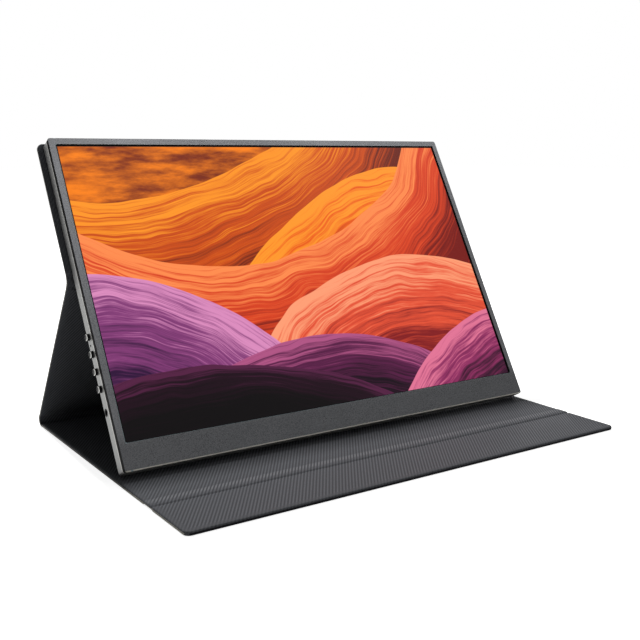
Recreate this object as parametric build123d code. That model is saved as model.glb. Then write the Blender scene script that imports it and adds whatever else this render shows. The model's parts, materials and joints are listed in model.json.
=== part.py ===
"""Portable monitor standing on its folding leather cover.

The frame: +X to the right as seen from the front, +Y to the back, +Z up. The origin is on the
table, in the middle of the cover's footprint. All lengths are in millimetres.
"""

import os
from math import asin, atan2, cos, degrees, hypot, radians, sin, sqrt

from build123d import *

# The monitor's outside.
picture_width = 344.7
picture_height = 215.4
side_bezel = 6.15
top_bezel = 6.2
chin = 19.4
monitor_thickness = 12.5
corner_radius = 2.0
least_corner = 0.4
rear_edge_round = 1.8
window_side_margin = 1.0
window_top_margin = 0.9
window_bottom_margin = 0.5

# The housing's layers, from the front face to the back.
front_plate = 0.9
front_chamfer = 0.35
window_chamfer = 0.4
seal_height = 0.9
seal_inset = 0.8
seal_width = 1.6
mid_frame_height = 2.0
mid_frame_width = 3.0
mid_tongue_width = 0.7
mid_tongue_height = 1.1
rim_line = 0.15
wall = 1.2
back_plate = 1.0

# The display module, from the window to the back.
cell_tape_thickness = 0.2
cell_tape_width = 0.7
cell_thickness = 1.0
cell_side_inset = 3.2
cell_top_inset = 3.4
cell_bottom_inset = 14.4
film_thickness = 0.4
light_guide_thickness = 0.9
reflector_thickness = 0.2
chassis_sheet = 0.4
chassis_wall = 0.5
chassis_tab = (1.3, 10.0)
chassis_tab_ys = (40.0, 120.0, 200.0)
tab_clearance = 0.05
layer_inset = 0.9
led_strip_depth = 0.5
led_length = 3.0
led_depth = 1.1
led_count = 40

# The cover. Each stiff panel is a skin with turned edges, a board and a lining.
cover_overhang = 3.75
cover_thickness = 3.0
strut_thickness = 2.6
leather_thickness = 0.85
lining_thickness = 0.7
hem = 5.0
fold_hem = 3.0
pocket_play = 0.2
cover_corner = 4.5
leather_round = 1.1
panel_top_overhang = 1.4

# The stand at rest.
screen_tilt = 29.9
knee_height = 138.4
knee_half_gap = 4.0
knee_leather = 1.4
heel_leather = 1.5
heel_end_gap = 0.3
rest_gap = 0.3
base_run = 196.8
flap_length = 51.0
crease_half_gap = 5.8
crease_leather = 1.2
crease_sink = 0.8
fold_end_gap = 0.2
spine_width = 14.0
spine_gap = 3.0

# Keys, sockets and openings in the side walls.
control_depth = 8.3
first_key_height = 58.4
key_pitch = 12.2
key_names = ("down_button", "up_button", "menu_button", "power_button")
key_radius = 2.3
key_proud = 2.1
key_edge = 0.45
key_hole_play = 0.2
key_flange_radius = 3.0
key_flange = 0.8
key_flange_play = 0.3
key_stem_radius = 1.2
key_stem = 1.0
key_plunger_gap = 0.45
pinhole_height = 88.9
pinhole_radius = 0.8
jack_height = 42.3
jack_bore_radius = 1.8
jack_bore_length = 13.0
jack_body = (12.0, 6.0, 5.0)
jack_nose_radius = 2.6
jack_hole_play = 0.2
socket_sink = 0.1
socket_play = 0.25
socket_wall = 0.3
socket_back_wall = 1.0
tongue_root = 0.1
usb_shell = (7.4, 8.94, 3.26)
usb_tongue = (5.4, 6.7, 0.7)
usb_heights = {"lower_usb_socket": 44.0, "upper_usb_socket": 60.0}
hdmi_shell = (7.6, 11.2, 3.2)
hdmi_tongue = (5.6, 8.4, 0.7)
hdmi_height = 79.0
slot_corner = 1.2

# Boards, cables and what is fixed on them.
board_thickness = 1.0
main_board_size = (78.6, 84.0)
main_board_side = 7.9
main_board_low = 24.0
main_board_screw_inset = 5.0
main_board_socket_strip = 15.6
board_edge_gap = 0.4
boss_radius = 2.4
boss_floor = 0.5
screw_hole_radius = 0.9
screw_clearance_radius = 1.0
screw_radius = 0.85
screw_head_radius = 1.9
screw_head = 0.8
screw_head_round = 0.3
screw_reach = 3.0
socket_edge_span = (14.0, 64.0)
chip_list = (
    (32.0, 36.0, 14.0, 14.0, 1.4),
    (50.0, 52.0, 7.0, 7.0, 1.0),
    (50.0, 26.0, 6.0, 6.0, 3.0),
    (38.0, 16.0, 6.0, 6.0, 3.0),
    (16.0, 56.0, 10.0, 6.0, 1.2),
    (18.0, 20.0, 8.0, 5.0, 1.5),
)
button_board_span = (35.0, 104.0)
button_board_width = 10.0
button_board_screw_inset = 6.8
button_board_screw_ys = (51.0, 100.0)
switch_body = (3.6, 6.0, 2.6)
switch_plunger_radius = 0.9
switch_plunger = 0.75
reset_switch_gap = 1.2
reset_switch_width = 2.9
reset_plunger_radius = 0.7
switch_overhang = 0.4
timing_board_width = 8.2
timing_edge_gap = 0.7
timing_socket_inset = 1.0
flex_count = 4
flex_width = 22.0
flex_thickness = 0.2
flex_foot = 2.0
cable_thickness = 0.3
cable_width = 8.0
cable_gap = 0.25
cable_turn_gap = 0.3
cable_slope = 8.0
cable_connector_length = 3.0
connector_margin = 2.0
display_cable_inset = 12.0
display_cable_reach = 64.0
button_cable_y = 58.0
low_connector = 0.4
connector_height = 1.0
speaker_size = (54.0, 14.0, 4.6)
speaker_corner = 3.0
speaker_side = 22.5
speaker_bottom = 5.0
speaker_slots = 6
speaker_slot = (1.0, 8.0)
speaker_slot_end = 0.45
speaker_slot_pitch = 4.0
speaker_chamber = 0.6
wire_radius = 0.5
wire_depth = 8.6
wire_lead = 12.0
wire_run_y = 26.0
wire_sag = 1.5
wire_connector = (5.0, 8.0, 3.0)
wire_connector_low = 9.0
wire_spacing = 3.2
standoff_radius = 2.2
standoff_side = 10.5
standoff_low = 8.0
standoff_middle_low = 20.0
standoff_top = 10.0
cover_screw_sink = 0.5
cover_screw_head_gap = 0.05
cover_screw_head_radius = 1.8
cover_screw_head_play = 0.15
cover_screw_play = 0.25
cover_screw_slot = (2.2, 0.4, 0.5)
magnet_size = (36.0, 9.0)
monitor_magnet_thickness = 1.4
magnet_play = 0.3
magnet_xs = (-130.0, -44.0, 44.0, 130.0)
magnet_top_inset = 15.0
flap_magnet_inset = 16.0

# Sizes that follow from the ones above.
monitor_width = picture_width + 2 * side_bezel
monitor_height = top_bezel + picture_height + chin
cover_width = monitor_width + 2 * cover_overhang
face_angle = 90 - screen_tilt
heel_radius = cover_thickness + rest_gap + rear_edge_round
base_length = flap_length + base_run + heel_radius
heel_y = base_length / 2 - heel_radius
crease_y = heel_y - base_run
crease_z = cover_thickness - crease_sink - crease_leather
front_y = -base_length / 2

# The stand is an isosceles triangle: knee to heel equals knee to the monitor's sliding edge.
leg_along = knee_height - rear_edge_round
leg_across = cover_thickness + rear_edge_round
leg_length = hypot(leg_along, leg_across)
leg_angle = face_angle - degrees(atan2(leg_across, leg_along))
edge_y = heel_y - 2 * leg_length * cos(radians(leg_angle))
knee_y = edge_y + leg_length * cos(radians(leg_angle))
knee_z = heel_radius + leg_length * sin(radians(leg_angle))
strut_slope = leg_angle - degrees(asin(heel_radius / leg_length))
strut_run = sqrt(leg_length**2 - heel_radius**2)

# The screen's own frame: X to the right, Y up the front face from its bottom edge, Z out of it.
edge_depth = monitor_thickness - rear_edge_round
screen_y = edge_y - rear_edge_round * cos(radians(face_angle)) - edge_depth * sin(radians(face_angle))
screen_z = heel_radius - rear_edge_round * sin(radians(face_angle)) + edge_depth * cos(radians(face_angle))
screen_place = Location((0, screen_y, screen_z), (face_angle, 0, 0))

# The strut's own frame: Y from the heel up to the knee, Z from the outer skin to the inside.
heel_touch_y = heel_y + heel_radius * sin(radians(strut_slope))
heel_touch_z = heel_radius + heel_radius * cos(radians(strut_slope))
strut_place = Location((0, heel_touch_y, heel_touch_z), (180 - strut_slope, 0, 0))

# Heights of the layers in the screen's frame, measured out of the front face.
seal_front_z = -front_plate
mid_front_z = seal_front_z - seal_height
mid_back_z = mid_front_z - mid_frame_height
rim_z = mid_back_z - rim_line
cell_front_z = -front_plate - cell_tape_thickness
cell_back_z = cell_front_z - cell_thickness
film_back_z = cell_back_z - film_thickness
guide_back_z = film_back_z - light_guide_thickness
reflector_back_z = guide_back_z - reflector_thickness
chassis_back_z = reflector_back_z - chassis_sheet
back_z = -monitor_thickness
floor_z = back_z + back_plate
control_z = -control_depth
left_x = -monitor_width / 2
right_x = monitor_width / 2
socket_board_back_z = control_z + usb_shell[2] / 2
button_board_back_z = control_z + switch_body[2] / 2
socket_board_front_z = socket_board_back_z + board_thickness
button_board_front_z = button_board_back_z + board_thickness
timing_front_z = reflector_back_z + board_thickness
cable_turn_y = mid_frame_width + cable_turn_gap
chassis_low = cable_turn_y + cable_thickness + cable_turn_gap
timing_low = chassis_low + timing_edge_gap
timing_high = timing_low + timing_board_width
inner_wall_x = left_x + wall
flange_x = inner_wall_x + key_flange_play
stem_x = flange_x + key_flange
plunger_x = stem_x + key_stem + key_plunger_gap
switch_x = plunger_x + switch_plunger
button_board_x = switch_x - switch_overhang
button_board_end_x = button_board_x + button_board_width
button_board_screws = [(button_board_x + button_board_screw_inset, y) for y in button_board_screw_ys]
main_board_end_x = right_x - main_board_side
main_board_x = main_board_end_x - main_board_size[0]
main_board_top = main_board_low + main_board_size[1]
main_board_screws = [
    (x, y)
    for x in (main_board_x + main_board_screw_inset, main_board_end_x - main_board_socket_strip)
    for y in (main_board_low + main_board_screw_inset, main_board_top - main_board_screw_inset)
]
display_cable_x = main_board_x + display_cable_inset
display_cable_end = main_board_low + display_cable_reach
connector_width = cable_width + 2 * connector_margin
timing_board_length = 2 * display_cable_x + connector_width
wire_connector_y = main_board_low + wire_connector_low
wire_connector_middle = wire_connector_y + wire_connector[1] / 2
speaker_end_x = right_x - speaker_side
standoff_x = right_x - standoff_side
standoff_top_y = monitor_height - standoff_top
standoff_sites = [(x, standoff_low if x else standoff_middle_low) for x in (-standoff_x, 0.0, standoff_x)]
standoff_sites += [(x, standoff_top_y) for x in (-standoff_x, 0.0, standoff_x)]
magnet_sites = [(x, monitor_height - magnet_top_inset) for x in magnet_xs]
low_corner = (Align.CENTER, Align.MIN, Align.MIN)
key_heights = [first_key_height + key_pitch * n for n in range(len(key_names))]


def block(width, length, height, x, y, z):
    """Box centred on x that starts at y and z."""
    return Pos(x, y, z) * Box(width, length, height, align=low_corner)


def span_box(x0, x1, y0, y1, z0, z1):
    """Box between two corners."""
    return Pos(x0, y0, z0) * Box(x1 - x0, y1 - y0, z1 - z0, align=(Align.MIN, Align.MIN, Align.MIN))


def disc(radius, height, x, y, z):
    """Upright cylinder that starts at z."""
    return Pos(x, y, z) * Cylinder(radius, height, align=(Align.CENTER, Align.CENTER, Align.MIN))


def side_rod(radius, x0, x1, y, z):
    """Cylinder along X from x0 to x1."""
    rod = Cylinder(radius, x1 - x0, align=(Align.CENTER, Align.CENTER, Align.MIN))
    return Pos(x0, y, z) * Rot(0, 90, 0) * rod


def monitor_slab(inset, z0, z1):
    """Slab with the monitor's outline, drawn in by an inset, from z0 up to z1."""
    radius = max(corner_radius - inset, least_corner)
    outline = RectangleRounded(monitor_width - 2 * inset, monitor_height - 2 * inset, radius)
    return extrude(Pos(0, monitor_height / 2, z0) * outline, amount=z1 - z0)


def monitor_ring(outer_inset, inner_inset, z0, z1):
    """Ring along the monitor's outline between two insets."""
    return monitor_slab(outer_inset, z0, z1) - monitor_slab(inner_inset, z0 - 1, z1 + 1)


def module_slab(inset, bottom, z0, z1):
    """Rectangular layer of the display module, above a bottom height."""
    side = monitor_width / 2 - cell_side_inset - inset
    top = monitor_height - cell_top_inset - inset
    return span_box(-side, side, bottom, top, z0, z1)


def group(solids):
    """Several separate solids of one kind as one sub-part."""
    return Compound(children=[part.solid() if not isinstance(part, Solid) else part for part in solids])


def cover_outline(start, stop, inset_side, inset_start, inset_stop, radius, at_stop):
    """Panel outline with its two free corners rounded, at its start or at its stop."""
    low = start + inset_start
    high = stop - inset_stop
    outline = Pos(0, (low + high) / 2) * Rectangle(cover_width - 2 * inset_side, high - low)
    if radius:
        corners = outline.vertices().group_by(Axis.Y)[-1 if at_stop else 0]
        outline = fillet(corners, radius)
    return outline


def cover_panel(start, stop, thickness, radius=0.0, at_stop=True):
    """Skin, board space and lining of one stiff panel, with the skin's outer face at z = 0."""
    lining_z = thickness - lining_thickness
    hem_start = fold_hem if at_stop or not radius else hem
    hem_stop = hem if at_stop and radius else fold_hem
    body = extrude(cover_outline(start, stop, 0, 0, 0, radius, at_stop), amount=thickness)
    fold_ys = (stop,) if radius and not at_stop else (start,) if radius else (start, stop)
    rim = [e for e in body.edges() if not any(abs(e.center().Y - y) < 0.01 for y in fold_ys)]
    flat_rim = [e for e in rim if abs(e.bounding_box().size.Z) < 0.01]
    body = fillet(flat_rim, leather_round)
    pocket_radius = max(radius - hem, 0.0)
    pocket = cover_outline(start, stop, hem, hem_start, hem_stop, pocket_radius, at_stop)
    skin = body - extrude(Pos(0, 0, leather_thickness) * pocket, amount=thickness)
    side, low, high = [edge + pocket_play for edge in (hem, hem_start, hem_stop)]
    fill = cover_outline(start, stop, side, low, high, pocket_radius, at_stop)
    board = extrude(Pos(0, 0, leather_thickness) * fill, amount=lining_z - leather_thickness)
    lining = extrude(Pos(0, 0, lining_z) * fill, amount=lining_thickness)
    return skin, board, lining


def bars(sites, thickness, z, play=0.0):
    """Flat magnets, or the pockets for them when play is given."""
    length = magnet_size[0] + 2 * play
    width = magnet_size[1] + 2 * play
    return [block(length, width, thickness, x, y - width / 2, z) for x, y in sites]


def make_flap():
    """Free front part of the base, with the magnets that hold it shut over the screen."""
    skin, board, lining = cover_panel(
        front_y, crease_y - crease_half_gap, cover_thickness, cover_corner, at_stop=False
    )
    sites = [(x, front_y + flap_magnet_inset) for x in magnet_xs]
    board_height = cover_thickness - lining_thickness - leather_thickness
    for pocket in bars(sites, board_height, leather_thickness, magnet_play):
        board -= pocket
    return {
        "flap_skin": skin,
        "flap_board": board,
        "flap_lining": lining,
        "flap_magnets": group(bars(sites, board_height, leather_thickness)),
    }


def make_base():
    """Part of the cover that lies on the table under the screen, with its narrow spine."""
    skin, board, lining = cover_panel(crease_y + crease_half_gap, heel_y, cover_thickness)
    spine_y = heel_y - spine_width
    half = cover_width / 2
    spine = board & span_box(-half, half, spine_y + spine_gap / 2, heel_y, 0, cover_thickness)
    board = board & span_box(-half, half, crease_y, spine_y - spine_gap / 2, 0, cover_thickness)
    return {"base_skin": skin, "base_board": board, "spine_board": spine, "base_lining": lining}


def make_strut():
    """Leg of the stand, between the heel and the knee."""
    skin, board, lining = cover_panel(heel_end_gap, strut_run - knee_half_gap, strut_thickness)
    return {
        "strut_skin": strut_place * skin,
        "strut_board": strut_place * board,
        "strut_lining": strut_place * lining,
    }


def make_back_panel():
    """Panel on the monitor's back above the knee, with the magnets that hold the monitor."""
    skin, board, lining = cover_panel(
        knee_height + knee_half_gap, monitor_height + panel_top_overhang, cover_thickness, cover_corner
    )
    board_height = cover_thickness - lining_thickness - leather_thickness
    for pocket in bars(magnet_sites, board_height, leather_thickness, magnet_play):
        board -= pocket
    magnets = group(bars(magnet_sites, board_height, leather_thickness))
    place = screen_place * Pos(0, 0, back_z - cover_thickness)
    parts = {
        "back_panel_skin": skin,
        "back_panel_board": board,
        "back_panel_lining": lining,
        "back_panel_magnets": magnets,
    }
    return {name: place * part for name, part in parts.items()}


def arc_band(centre_y, centre_z, outer, inner, start_angle, stop_angle):
    """Leather bend: part of a tube about a line along X. Angles turn from +Y towards +Z."""
    half = cover_width / 2
    mid_angle = (start_angle + stop_angle) / 2

    def at(radius, angle):
        return (centre_y + radius * cos(radians(angle)), centre_z + radius * sin(radians(angle)))

    with BuildSketch(Plane.YZ.offset(-half)) as section:
        with BuildLine():
            ThreePointArc(at(outer, start_angle), at(outer, mid_angle), at(outer, stop_angle))
            Line(at(outer, stop_angle), at(inner, stop_angle))
            ThreePointArc(at(inner, stop_angle), at(inner, mid_angle), at(inner, start_angle))
            Line(at(inner, start_angle), at(outer, start_angle))
        make_face()
    return extrude(section.sketch, amount=cover_width)


def make_folds():
    """The three living hinges of leather between the panels, at rest."""
    heel_stop = 90 - strut_slope
    end_turn = degrees(fold_end_gap / heel_radius)
    heel = arc_band(heel_y, heel_radius, heel_radius, heel_radius - heel_leather, -90, heel_stop - end_turn)

    # The knee's leather rounds the hollow corner between the back panel and the strut.
    corner = face_angle + strut_slope
    knee_radius = knee_half_gap * tan_half(corner)
    reach = hypot(knee_half_gap, knee_radius)
    bisector = (face_angle - strut_slope) / 2
    centre_y = knee_y + reach * cos(radians(bisector))
    centre_z = knee_z + reach * sin(radians(bisector))
    half_turn = (180 - corner) / 2 - degrees(fold_end_gap / knee_radius)
    facing = bisector + 180
    knee = arc_band(
        centre_y, centre_z, knee_radius + knee_leather, knee_radius, facing - half_turn, facing + half_turn
    )

    crease_width = 2 * (crease_half_gap - fold_end_gap)
    crease_start = crease_y - crease_half_gap + fold_end_gap
    crease = block(cover_width, crease_width, crease_leather, 0, crease_start, crease_z)
    return {"heel_fold": heel, "knee_fold": knee, "crease_fold": crease}


def tan_half(angle):
    """Tangent of half an angle given in degrees."""
    return sin(radians(angle / 2)) / cos(radians(angle / 2))


def make_front_frame():
    """Thin metal frame round the screen, with a bright chamfer along its outer edge."""
    plate = monitor_slab(0, -front_plate, 0)
    plate = chamfer(plate.faces().sort_by(Axis.Z)[-1].edges(), front_chamfer)
    window = span_box(
        -picture_width / 2 - window_side_margin,
        picture_width / 2 + window_side_margin,
        chin - window_bottom_margin,
        chin + picture_height + window_top_margin,
        -front_plate - 1,
        1,
    )
    plate = plate - window
    front = plate.faces().sort_by(Axis.Z)[-1]
    return chamfer(front.inner_wires()[0].edges(), window_chamfer)


def make_seals():
    """Gasket in the groove behind the front frame, and the tape that holds the display to it."""
    seal = monitor_ring(seal_inset, seal_inset + seal_width, mid_front_z, seal_front_z)
    tape = module_slab(0, cell_bottom_inset, cell_front_z, -front_plate)
    tape = tape - module_slab(
        cell_tape_width, cell_bottom_inset + cell_tape_width, cell_front_z - 1, 1
    )
    return {"screen_seal": seal, "cell_tape": tape}


def make_mid_frame():
    """Narrow ring between the groove and the rear cover, with a tongue inside the cover's wall."""
    tongue_inset = wall + pocket_play
    ring = monitor_ring(0, mid_frame_width, mid_back_z, mid_front_z)
    tongue = monitor_ring(
        tongue_inset, tongue_inset + mid_tongue_width, mid_back_z - mid_tongue_height, mid_back_z
    )
    return ring + tongue


def side_slot(shell, y, play):
    """Slot through the right wall for a socket's shell."""
    depth, width, height = shell
    slot = Box(3 * wall, width + 2 * play, height + 2 * play)
    slot = fillet(slot.edges().filter_by(Axis.X), slot_corner)
    return Pos(right_x - wall / 2, y, control_z) * slot


def speaker_slot_cuts(side):
    """Sound slots through the back plate behind one speaker."""
    middle = side * (speaker_end_x - speaker_size[0] / 2)
    length = speaker_slot[1]
    y = speaker_bottom + (speaker_size[1] - length) / 2
    first = middle - speaker_slot_pitch * (speaker_slots - 1) / 2
    cuts = []
    for n in range(speaker_slots):
        x = first + speaker_slot_pitch * n
        slot = block(speaker_slot[0], length, 3 * back_plate, x, y, back_z - back_plate)
        cuts.append(fillet(slot.edges().filter_by(Axis.Z), speaker_slot_end))
    return cuts


def make_rear_cover():
    """Metal tray that closes the monitor: side wall, back plate, bosses and every hole."""
    tray = monitor_slab(0, back_z, rim_z)
    tray = fillet(tray.faces().sort_by(Axis.Z)[0].edges(), rear_edge_round)
    tray = tray - monitor_slab(wall, floor_z, rim_z + 1)
    for sites, top in ((main_board_screws, socket_board_back_z), (button_board_screws, button_board_back_z)):
        for x, y in sites:
            tray += disc(boss_radius, top - floor_z, x, y, floor_z)
            tray -= disc(screw_hole_radius, top - floor_z, x, y, floor_z + boss_floor)
    sink_radius = cover_screw_head_radius + cover_screw_head_play
    for x, y in standoff_sites:
        tray -= disc(screw_radius + cover_screw_play, 3 * back_plate, x, y, back_z - back_plate)
        tray -= disc(sink_radius, back_plate + cover_screw_sink, x, y, back_z - back_plate)
    for y in key_heights:
        tray -= side_rod(key_radius + key_hole_play, left_x - wall, left_x + 2 * wall, y, control_z)
    tray -= side_rod(pinhole_radius, left_x - wall, left_x + 2 * wall, pinhole_height, control_z)
    tray -= side_rod(
        jack_nose_radius + jack_hole_play, left_x - wall, left_x + 2 * wall, jack_height, control_z
    )
    for y in usb_heights.values():
        tray -= side_slot(usb_shell, y, socket_play)
    tray -= side_slot(hdmi_shell, hdmi_height, socket_play)
    for side in (-1, 1):
        for cut in speaker_slot_cuts(side):
            tray -= cut
    return tray


def make_display():
    """Display module: liquid crystal cell, films, light guide, reflector, lamps and metal tray."""
    guide_bottom = cell_bottom_inset + chassis_wall + layer_inset + led_depth + led_strip_depth
    cell = module_slab(0, cell_bottom_inset, cell_back_z, cell_front_z)
    films = module_slab(layer_inset, guide_bottom - led_depth, film_back_z, cell_back_z)
    guide = module_slab(layer_inset, guide_bottom, guide_back_z, film_back_z)
    reflector = module_slab(layer_inset, guide_bottom, reflector_back_z, guide_back_z)

    side = monitor_width / 2 - cell_side_inset - layer_inset
    strip_y = guide_bottom - led_depth - led_strip_depth
    strip = span_box(-side, side, strip_y, strip_y + led_strip_depth, reflector_back_z, film_back_z)
    led_pitch = (2 * side - led_length * 2) / (led_count - 1)
    led_z = guide_back_z
    for n in range(led_count):
        x = -side + led_length + led_pitch * n
        strip += block(led_length, led_depth, film_back_z - led_z, x, strip_y + led_strip_depth, led_z)

    top = monitor_height - cell_top_inset - pocket_play / 2
    plate_side = monitor_width / 2 - cell_side_inset - pocket_play / 2
    chassis = span_box(-plate_side, plate_side, chassis_low, top, chassis_back_z, reflector_back_z)
    rim_low = cell_bottom_inset + pocket_play
    rim = span_box(-plate_side, plate_side, rim_low, top, reflector_back_z, cell_back_z)
    inner_side = plate_side - chassis_wall
    rim -= span_box(-inner_side, inner_side, 0, top - chassis_wall, back_z, 0)
    chassis += rim
    tab_depth, tab_length = chassis_tab
    tab_z = mid_back_z - tab_clearance - chassis_sheet
    for x_side in (-1, 1):
        for y in chassis_tab_ys:
            x = x_side * (plate_side + tab_depth / 2 - pocket_play)
            chassis += block(tab_depth, tab_length, chassis_sheet, x, y, tab_z)
    return {
        "lcd_cell": cell,
        "optical_films": films,
        "light_guide_plate": guide,
        "reflector_sheet": reflector,
        "led_strip": strip,
        "panel_chassis": chassis,
    }


def yz_prism(points, x, width):
    """Straight prism along X, centred on x, from points in the YZ plane."""
    with BuildSketch(Plane.YZ.offset(x - width / 2)) as section:
        with BuildLine():
            Polyline(*points, close=True)
        make_face()
    return extrude(section.sketch, amount=width)


def make_timing_parts():
    """Timing board in the chin and the short flexes that join it to the cell."""
    board = block(timing_board_length, timing_board_width, board_thickness, 0, timing_low, reflector_back_z)
    socket_y = timing_low + timing_socket_inset
    board += block(
        connector_width, cable_connector_length, low_connector, display_cable_x, socket_y, timing_front_z
    )
    flex_end = cell_bottom_inset + layer_inset
    flex_start = timing_high - flex_foot
    points = [
        (flex_start, timing_front_z),
        (timing_high, timing_front_z),
        (cell_bottom_inset, cell_back_z - flex_thickness),
        (flex_end, cell_back_z - flex_thickness),
        (flex_end, cell_back_z),
        (cell_bottom_inset - flex_thickness / 2, cell_back_z),
        (timing_high, timing_front_z + flex_thickness),
        (flex_start, timing_front_z + flex_thickness),
    ]
    pitch = (timing_board_length - flex_width) / (flex_count - 0.5)
    first = -pitch * (flex_count - 1) / 2 - flex_width / 2
    flexes = [yz_prism(points, first + pitch * n, flex_width) for n in range(flex_count)]
    return {"timing_board": board, "panel_flex": group(flexes)}


def make_main_board():
    """Main board beside the right wall, its chips, and the three sockets on it."""
    back = socket_board_back_z
    front = socket_board_front_z
    board = span_box(main_board_x, main_board_end_x, main_board_low, main_board_top, back, front)
    edge_low, edge_high = [main_board_low + y for y in socket_edge_span]
    board += span_box(main_board_end_x, right_x - wall - board_edge_gap, edge_low, edge_high, back, front)
    for x, y in main_board_screws:
        board -= disc(screw_clearance_radius, 3 * board_thickness, x, y, back - board_thickness)
    end_y = display_cable_end - cable_connector_length
    board += block(connector_width, cable_connector_length, connector_height, display_cable_x, end_y, front)
    low_y = button_cable_y - connector_margin
    end_x = main_board_x + cable_connector_length
    board += span_box(main_board_x, end_x, low_y, low_y + connector_width, front, front + connector_height)
    length, width, height = wire_connector
    end_x = main_board_x + length
    board += span_box(main_board_x, end_x, wire_connector_y, wire_connector_y + width, back - height, back)
    chips = [
        block(w, d, h, main_board_x + x, main_board_low + y, back - h) for x, y, w, d, h in chip_list
    ]
    parts = {"main_board": board, "board_chips": group(chips)}
    for name, y in usb_heights.items():
        parts[name] = make_socket(usb_shell, usb_tongue, y)
    parts["hdmi_socket"] = make_socket(hdmi_shell, hdmi_tongue, hdmi_height)
    return parts


def make_socket(shell, tongue, y):
    """Metal socket shell with its tongue, open to the right, its mouth just inside the wall."""
    depth, width, height = shell
    mouth_x = right_x - socket_sink
    back_x = mouth_x - depth
    body = Pos(mouth_x - depth / 2, y, control_z) * Box(depth, width, height)
    body = fillet(body.edges().filter_by(Axis.X), slot_corner)
    hollow = Box(depth, width - 2 * socket_wall, height - 2 * socket_wall)
    hollow = fillet(hollow.edges().filter_by(Axis.X), slot_corner - socket_wall)
    body -= Pos(mouth_x - depth / 2 + socket_back_wall, y, control_z) * hollow
    root_x = back_x + socket_back_wall - tongue_root
    return body + Pos(root_x + tongue[0] / 2, y, control_z) * Box(*tongue)


def make_buttons():
    """Round keys in the left wall, each with a retaining flange and a stem."""
    parts = {}
    for name, y in zip(key_names, key_heights):
        cap = side_rod(key_radius, left_x - key_proud, flange_x, y, control_z)
        cap = fillet(cap.edges().sort_by(Axis.X)[0], key_edge)
        cap += side_rod(key_flange_radius, flange_x, stem_x, y, control_z)
        cap += side_rod(key_stem_radius, stem_x, stem_x + key_stem, y, control_z)
        parts[name] = cap
    return parts


def make_button_board():
    """Narrow board behind the keys, with its switches and the headphone socket."""
    depth, width, height = switch_body
    back = button_board_back_z
    front = button_board_front_z
    board = span_box(button_board_x, button_board_end_x, *button_board_span, back, front)

    jack_depth, jack_width, jack_high = jack_body
    jack_x = inner_wall_x + pocket_play
    jack_low = jack_height - jack_width / 2
    jack_bottom = control_z - jack_high / 2
    jack_block = (
        jack_x, jack_x + jack_depth, jack_low, jack_low + jack_width, jack_bottom, jack_bottom + jack_high
    )
    board -= span_box(*jack_block)
    for x, y in button_board_screws:
        board -= disc(screw_clearance_radius, 3 * board_thickness, x, y, back - board_thickness)
    connector_x = button_board_end_x - cable_connector_length
    board += span_box(
        connector_x, button_board_end_x, button_cable_y, button_cable_y + cable_width, front,
        front + connector_height,
    )

    switches = []
    for y in key_heights:
        body = span_box(switch_x, switch_x + depth, y - width / 2, y + width / 2, back - height, back)
        switches.append(body + side_rod(switch_plunger_radius, plunger_x, switch_x, y, control_z))
    half_reset = reset_switch_width / 2
    low_y = pinhole_height - half_reset
    reset = span_box(switch_x, switch_x + depth, low_y, pinhole_height + half_reset, back - height, back)
    reset_x = inner_wall_x + reset_switch_gap
    switches.append(reset + side_rod(reset_plunger_radius, reset_x, switch_x, pinhole_height, control_z))

    mouth_x = left_x + socket_sink
    jack = span_box(*jack_block) + side_rod(jack_nose_radius, mouth_x, jack_x, jack_height, control_z)
    jack -= side_rod(jack_bore_radius, mouth_x, mouth_x + jack_bore_length, jack_height, control_z)
    return {"button_board": board, "tact_switches": group(switches), "audio_jack": jack}


def ribbon(points, y0, y1, thickness):
    """Flat cable along X: points (x, z) of its front face, between two heights on the screen."""
    path = list(points) + [(x, z - thickness) for x, z in reversed(points)]
    with BuildSketch(Plane.XZ.offset(-y0)) as section:
        with BuildLine():
            Polyline(*path, close=True)
        make_face()
    return extrude(section.sketch, amount=-(y1 - y0))


def make_cables():
    """Flat cables behind the chassis: from the keys, and round the chassis's edge to the timing board."""
    lie_z = chassis_back_z - cable_gap
    button_end_z = button_board_front_z + connector_height + cable_thickness
    main_end_z = socket_board_front_z + connector_height + cable_thickness
    button_points = [
        (button_board_end_x - cable_connector_length, button_end_z),
        (button_board_end_x, button_end_z),
        (button_board_end_x + cable_slope, lie_z),
        (main_board_x - cable_slope, lie_z),
        (main_board_x, main_end_z),
        (main_board_x + cable_connector_length, main_end_z),
    ]
    button_cable = ribbon(button_points, button_cable_y, button_cable_y + cable_width, cable_thickness)

    # The display cable is one U-shaped band in a plane across the screen.
    socket_top = timing_front_z + low_connector
    start_y = timing_low + timing_socket_inset + cable_connector_length
    turn_y = cable_turn_y
    points = [
        (start_y, socket_top + cable_thickness),
        (turn_y, socket_top + cable_thickness),
        (turn_y, lie_z - cable_thickness),
        (display_cable_end, lie_z - cable_thickness),
        (display_cable_end, lie_z),
        (turn_y + cable_thickness, lie_z),
        (turn_y + cable_thickness, socket_top),
        (start_y, socket_top),
    ]
    display_cable = yz_prism(points, display_cable_x, cable_width)
    return {"button_cable": button_cable, "display_cable": display_cable}


def round_wire(points):
    """Thin round lead along a route, with arcs as large as its runs allow."""
    corners = [Vector(p) for p in points]
    radii = []
    for before, corner, after in zip(corners, corners[1:], corners[2:]):
        turn = (corner - before).get_angle(after - corner)
        shorter = min((corner - before).length, (after - corner).length)
        radii.append(0.45 * shorter / tan_half(turn))
    path = FilletPolyline(*points, radius=radii)
    section = Plane(origin=path @ 0, z_dir=path % 0) * Circle(wire_radius)
    print("wire bend radii", [round(radius, 1) for radius in radii], "length", round(path.length, 1))
    return sweep(section, path=path)


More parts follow.
